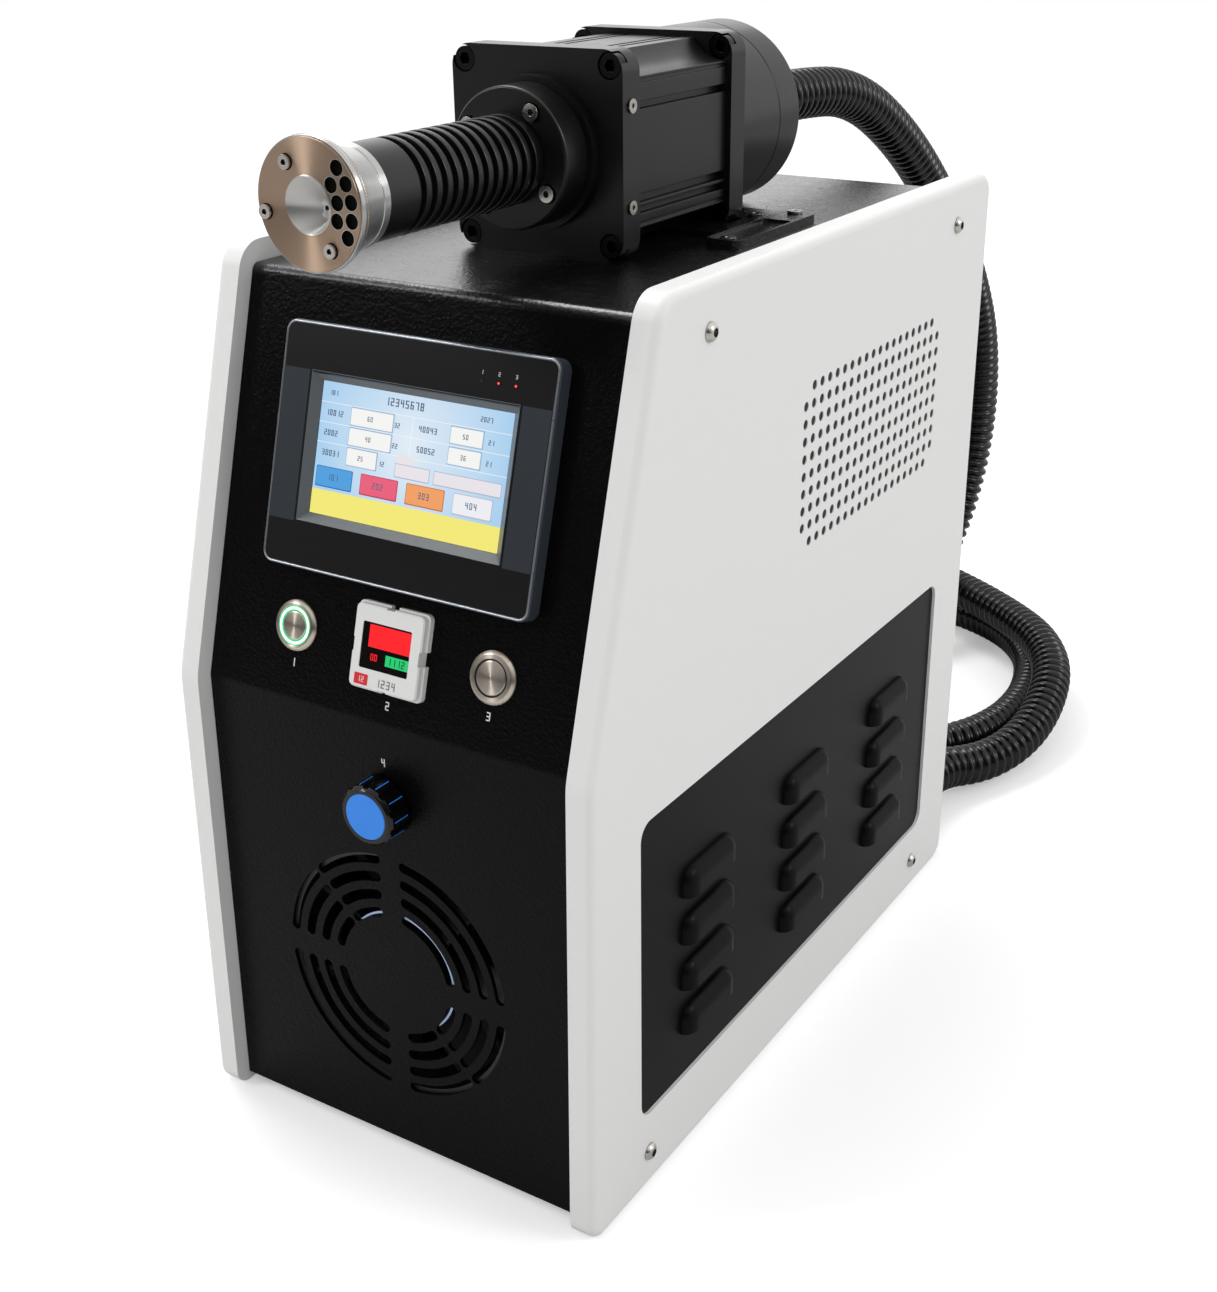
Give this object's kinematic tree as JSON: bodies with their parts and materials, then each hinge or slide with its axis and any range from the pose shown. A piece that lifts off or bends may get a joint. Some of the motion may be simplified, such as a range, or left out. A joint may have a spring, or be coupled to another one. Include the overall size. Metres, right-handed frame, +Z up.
{
  "type": "plasma surface treatment system",
  "caption": "Bench plasma surface treater: steel cabinet with touchscreen, fan grille and louvred sides, a rotary nozzle gun resting on top and a corrugated hose.",
  "frame": {"origin": "centre of the box round the cabinet and gun without the hose, on the table plane", "axes": "+X to the right of the operator's view of the front, +Y from the front to the rear, +Z up"},
  "size_m": [0.4671, 0.7693, 0.4712],
  "materials": {
    "white_powder_coat": "satin powder coat",
    "black_powder_coat": "fine textured powder coat",
    "stainless_screws": "bright",
    "foot_rubber": "matte",
    "screen_bezel": "satin",
    "display_glass": "lit display under glass",
    "signal_lens": "clear lens",
    "lit_ring_green": "glowing ring",
    "button_steel": "turned",
    "switch_white": "moulded",
    "switch_display": "dark display window",
    "knob_black": "moulded",
    "knob_blue": "moulded",
    "cast_aluminium": "bead blasted",
    "turned_steel": "turned",
    "fan_plastic": "moulded",
    "galvanised_case": "zinc plated",
    "transformer_core": "varnished laminations",
    "circuit_board": "laminate",
    "valve_brass": "machined",
    "inlet_plastic": "moulded",
    "gland_plastic": "moulded",
    "black_anodised": "black anodised",
    "bronze_face": "turned bronze",
    "motor_iron": "laminated",
    "electrode_tungsten": "ground",
    "hose_black": "corrugated"
  },
  "bodies": {
    "cabinet": {"left_side_cover": "white_powder_coat", "right_side_cover": "white_powder_coat", "front_top_shell": "black_powder_coat", "base_tray": "black_powder_coat", "rear_panel": "black_powder_coat", "gun_dock_rails": "black_powder_coat", "gun_dock_plate": "black_powder_coat", "left_louvre_panel": "black_powder_coat", "right_louvre_panel": "black_powder_coat", "cover_screws": "stainless_screws", "gun_side_screws": "stainless_screws", "gun_flange_screws": "stainless_screws", "gun_dock_screws": "stainless_screws", "fan_nuts": "stainless_screws", "button_nuts": "stainless_screws", "rubber_feet": "foot_rubber", "touchscreen_housing": "screen_bezel", "touchscreen_overlay": "screen_bezel", "touchscreen_display": "display_glass", "status_leds": "signal_lens", "left_button_light_ring": "lit_ring_green", "left_button_body": "button_steel", "right_button_body": "button_steel", "pressure_switch_frame": "switch_white", "pressure_switch_window": "switch_display", "regulator_body": "cast_aluminium", "gun_bearings": "turned_steel", "fan_frame": "fan_plastic", "power_supply": "galvanised_case", "high_voltage_transformer": "transformer_core", "control_board": "circuit_board", "solenoid_valve": "valve_brass", "air_inlet_fitting": "valve_brass", "power_inlet": "inlet_plastic", "hose_gland_rear": "gland_plastic", "gun_hose_gland": "gland_plastic", "gun_front_plate": "black_anodised", "gun_body": "black_anodised", "gun_rear_plate": "black_anodised", "gun_plate_screws": "black_anodised", "gun_motor_flange": "black_anodised", "gun_finned_sleeve": "black_anodised", "gun_rear_housing": "black_anodised", "gun_rear_cap": "black_anodised", "motor_stator": "motor_iron", "plasma_electrode": "electrode_tungsten", "hose": "hose_black"},
    "left_button": {"left_button_cap": "button_steel"},
    "right_button": {"right_button_cap": "button_steel"},
    "regulator_spindle_body": {"regulator_spindle": "turned_steel"},
    "regulator_knob_body": {"regulator_knob": "knob_black", "regulator_knob_cap": "knob_blue"},
    "fan_rotor": {"fan_impeller": "fan_plastic"},
    "nozzle_rotor": {"nozzle_head": "turned_steel", "nozzle_face": "bronze_face", "nozzle_screws": "stainless_screws", "nozzle_shaft": "turned_steel", "motor_rotor": "motor_iron"},
    "rocker": {"power_rocker": "inlet_plastic"}
  },
  "joints": [
    {"name": "left_button_press", "type": "slide", "parent": "cabinet", "child": "left_button", "axis": [0, 0.9592, -0.2828], "range_m": [0, 0.0015], "stiffness_N_per_m": 600},
    {"name": "right_button_press", "type": "slide", "parent": "cabinet", "child": "right_button", "axis": [0, 0.9592, -0.2828], "range_m": [0, 0.0015], "stiffness_N_per_m": 600},
    {"name": "regulator_turn", "type": "hinge", "parent": "cabinet", "child": "regulator_spindle_body", "pos_m": [0, -0.18196, 0.17877], "axis": [0, -0.9998, 0.0198], "range_deg": [-1080, 1080]},
    {"name": "regulator_pull", "type": "slide", "parent": "regulator_spindle_body", "child": "regulator_knob_body", "axis": [0, -0.9998, 0.0198], "range_m": [0, 0.002]},
    {"name": "fan_spin", "type": "hinge", "parent": "cabinet", "child": "fan_rotor", "pos_m": [0, -0.16865, 0.09319], "axis": [0, -0.9998, 0.0198], "continuous": true},
    {"name": "nozzle_spin", "type": "hinge", "parent": "cabinet", "child": "nozzle_rotor", "pos_m": [0, -0.15, 0.42905], "axis": [0, 1, 0], "continuous": true},
    {"name": "power_rocker_tilt", "type": "hinge", "parent": "cabinet", "child": "rocker", "pos_m": [-0.058, 0.1792, 0.083], "axis": [1, 0, 0], "range_deg": [-8, 8]}
  ]
}
